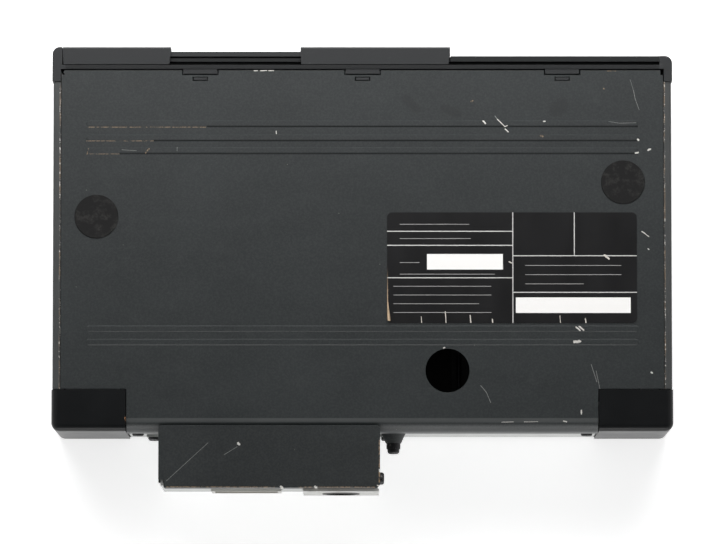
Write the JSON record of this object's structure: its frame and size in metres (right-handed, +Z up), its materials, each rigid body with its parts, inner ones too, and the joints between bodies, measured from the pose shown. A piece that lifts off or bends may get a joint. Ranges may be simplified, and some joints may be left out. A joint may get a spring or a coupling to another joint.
{
  "type": "car disc changer",
  "caption": "Flat boot-mounted disc changer with a sliding magazine, disc trays, lifting play unit, shutter door and rear interface box.",
  "frame": {"origin": "middle of the resting footprint, on the surface it rests on", "axes": "+Z up through the pictured cover, -Y towards the magazine slot, +Y towards the rear interface box, +X towards the box's end of the case"},
  "size_m": [0.2554, 0.1836, 0.0558],
  "materials": {
    "case_paint": "satin dark grey-green paint",
    "zinc_sheet": "zinc-plated sheet steel",
    "black_sheet": "blackened sheet steel",
    "bezel_plastic": "fine-grained dark plastic",
    "cap_plastic": "black plastic, low sheen",
    "seal_rubber": "matt black rubber",
    "label_film": "black label film, bare",
    "screw_steel": "blackened screws",
    "contact_gold": "plated contacts",
    "socket_plastic": "black connector moulding",
    "board_green": "green circuit board",
    "cable_film": "white flat cable",
    "damper_rubber": "soft black rubber",
    "spring_steel": "spring steel wire",
    "motor_steel": "drawn steel motor can",
    "magazine_plastic": "dark grey magazine plastic",
    "tray_plastic": "grey tray plastic",
    "disc_mirror": "silvered disc",
    "mechanism_plastic": "white low-friction plastic",
    "key_plastic": "grey key plastic"
  },
  "bodies": {
    "housing": {"chassis_tray": "case_paint", "top_cover": "case_paint", "rear_panel": "zinc_sheet", "corner_cap_left": "cap_plastic", "corner_cap_right": "cap_plastic", "front_bezel": "bezel_plastic", "slot_surround": "bezel_plastic", "hole_seals": "seal_rubber", "data_label": "label_film", "mounting_nuts": "zinc_sheet", "interface_box": "zinc_sheet", "interface_lid": "case_paint", "interface_board": "board_green", "round_socket": "socket_plastic", "power_socket": "mechanism_plastic", "socket_pins": "contact_gold", "rear_boss": "case_paint", "rear_boss_screw": "screw_steel", "case_screws": "screw_steel", "main_board": "board_green", "link_cable": "cable_film", "mechanism_deck": "zinc_sheet", "deck_dampers": "damper_rubber", "deck_springs": "spring_steel", "magazine_holder": "zinc_sheet", "lift_bracket_front": "zinc_sheet", "lift_bracket_rear": "zinc_sheet", "lift_motor": "motor_steel", "lever_spring": "spring_steel"},
    "shutter_front": {"shutter_leaf_front": "bezel_plastic"},
    "shutter_rear": {"shutter_leaf_rear": "bezel_plastic"},
    "dial_left": {"suspension_dial_left": "key_plastic"},
    "dial_right": {"suspension_dial_right": "key_plastic"},
    "play_unit": {"play_unit_plate": "black_sheet", "guide_rods": "spring_steel", "sled_motor": "motor_steel", "spindle_motor": "motor_steel"},
    "cam_front": {"cam_slide_front": "mechanism_plastic"},
    "cam_rear": {"cam_slide_rear": "mechanism_plastic"},
    "pinion": {"lift_pinion": "mechanism_plastic"},
    "turntable": {"turntable": "mechanism_plastic"},
    "sled": {"pickup_sled": "socket_plastic"},
    "feed_screw": {"lead_screw": "spring_steel"},
    "magazine": {"magazine_case": "magazine_plastic", "magazine_lid": "magazine_plastic", "magazine_handle": "magazine_plastic"},
    "eject_key": {"eject_button": "key_plastic"},
    "lever": {"eject_lever": "zinc_sheet"},
    "tray_1": {"disc_tray_1": "tray_plastic", "disc_1": "disc_mirror"},
    "tray_2": {"disc_tray_2": "tray_plastic", "disc_2": "disc_mirror"},
    "tray_3": {"disc_tray_3": "tray_plastic", "disc_3": "disc_mirror"},
    "tray_4": {"disc_tray_4": "tray_plastic", "disc_4": "disc_mirror"},
    "tray_5": {"disc_tray_5": "tray_plastic", "disc_5": "disc_mirror"},
    "tray_6": {"disc_tray_6": "tray_plastic", "disc_6": "disc_mirror"}
  },
  "joints": [
    {"name": "shutter_front_slide", "type": "slide", "parent": "housing", "child": "shutter_front", "axis": [-1, 0, 0], "range_m": [-0.1388, 0]},
    {"name": "shutter_rear_slide", "type": "slide", "parent": "housing", "child": "shutter_rear", "axis": [-1, 0, 0], "range_m": [-0.0737, 0]},
    {"name": "magazine_slide", "type": "slide", "parent": "housing", "child": "magazine", "axis": [0, -1, 0], "range_m": [0, 0.16]},
    {"name": "tray_1_slide", "type": "slide", "parent": "magazine", "child": "tray_1", "axis": [-1, 0, 0], "range_m": [0, 0.1155]},
    {"name": "tray_2_slide", "type": "slide", "parent": "magazine", "child": "tray_2", "axis": [-1, 0, 0], "range_m": [0, 0.1155]},
    {"name": "tray_3_slide", "type": "slide", "parent": "magazine", "child": "tray_3", "axis": [-1, 0, 0], "range_m": [0, 0.1155]},
    {"name": "tray_4_slide", "type": "slide", "parent": "magazine", "child": "tray_4", "axis": [-1, 0, 0], "range_m": [0, 0.1155]},
    {"name": "tray_5_slide", "type": "slide", "parent": "magazine", "child": "tray_5", "axis": [-1, 0, 0], "range_m": [0, 0.1155]},
    {"name": "tray_6_slide", "type": "slide", "parent": "magazine", "child": "tray_6", "axis": [-1, 0, 0], "range_m": [0, 0.1155]},
    {"name": "lift_slide", "type": "slide", "parent": "housing", "child": "play_unit", "axis": [0, 0, 1], "range_m": [0, 0.0305]},
    {"name": "cam_front_slide", "type": "slide", "parent": "housing", "child": "cam_front", "axis": [1, 0, 0], "range_m": [0, 0.0305]},
    {"name": "cam_rear_slide", "type": "slide", "parent": "housing", "child": "cam_rear", "axis": [1, 0, 0], "range_m": [0, 0.0305]},
    {"name": "pinion_spin", "type": "hinge", "parent": "housing", "child": "pinion", "pos_m": [-0.07, 0.05455, 0.0455], "axis": [0, 1, 0], "range_deg": [-583, 0]},
    {"name": "turntable_spin", "type": "hinge", "parent": "play_unit", "child": "turntable", "pos_m": [-0.0604, -0.0119, 0.009], "axis": [0, 0, 1], "continuous": true},
    {"name": "sled_slide", "type": "slide", "parent": "play_unit", "child": "sled", "axis": [0, 1, 0], "range_m": [0, 0.033]},
    {"name": "feed_screw_spin", "type": "hinge", "parent": "play_unit", "child": "feed_screw", "pos_m": [-0.0404, 0.0281, 0.0042], "axis": [0, 1, 0], "range_deg": [0, 3961]},
    {"name": "eject_key_press", "type": "slide", "parent": "housing", "child": "eject_key", "axis": [0, 1, 0], "range_m": [0, 0.002], "stiffness_N_per_m": 150},
    {"name": "eject_lever_turn", "type": "hinge", "parent": "housing", "child": "lever", "pos_m": [-0.029, -0.06575, 0.0458], "axis": [0, 0, 1], "range_deg": [0, 12.1]},
    {"name": "dial_left_turn", "type": "hinge", "parent": "housing", "child": "dial_left", "pos_m": [0.127, -0.01175, 0.0275], "axis": [1, 0, 0], "range_deg": [0, 90]},
    {"name": "dial_right_turn", "type": "hinge", "parent": "housing", "child": "dial_right", "pos_m": [-0.127, -0.01175, 0.0275], "axis": [1, 0, 0], "range_deg": [0, 90]}
  ],
  "couplings": [
    {"joint": "shutter_rear_slide", "follows": "shutter_front_slide", "ratio": 0.53026},
    {"joint": "cam_front_slide", "follows": "lift_slide", "ratio": 1},
    {"joint": "cam_rear_slide", "follows": "lift_slide", "ratio": 1},
    {"joint": "pinion_spin", "follows": "lift_slide", "rad_per_m": -333.33},
    {"joint": "feed_screw_spin", "follows": "sled_slide", "rad_per_m": 2094.4},
    {"joint": "eject_lever_turn", "follows": "eject_key_press", "rad_per_m": 105}
  ]
}
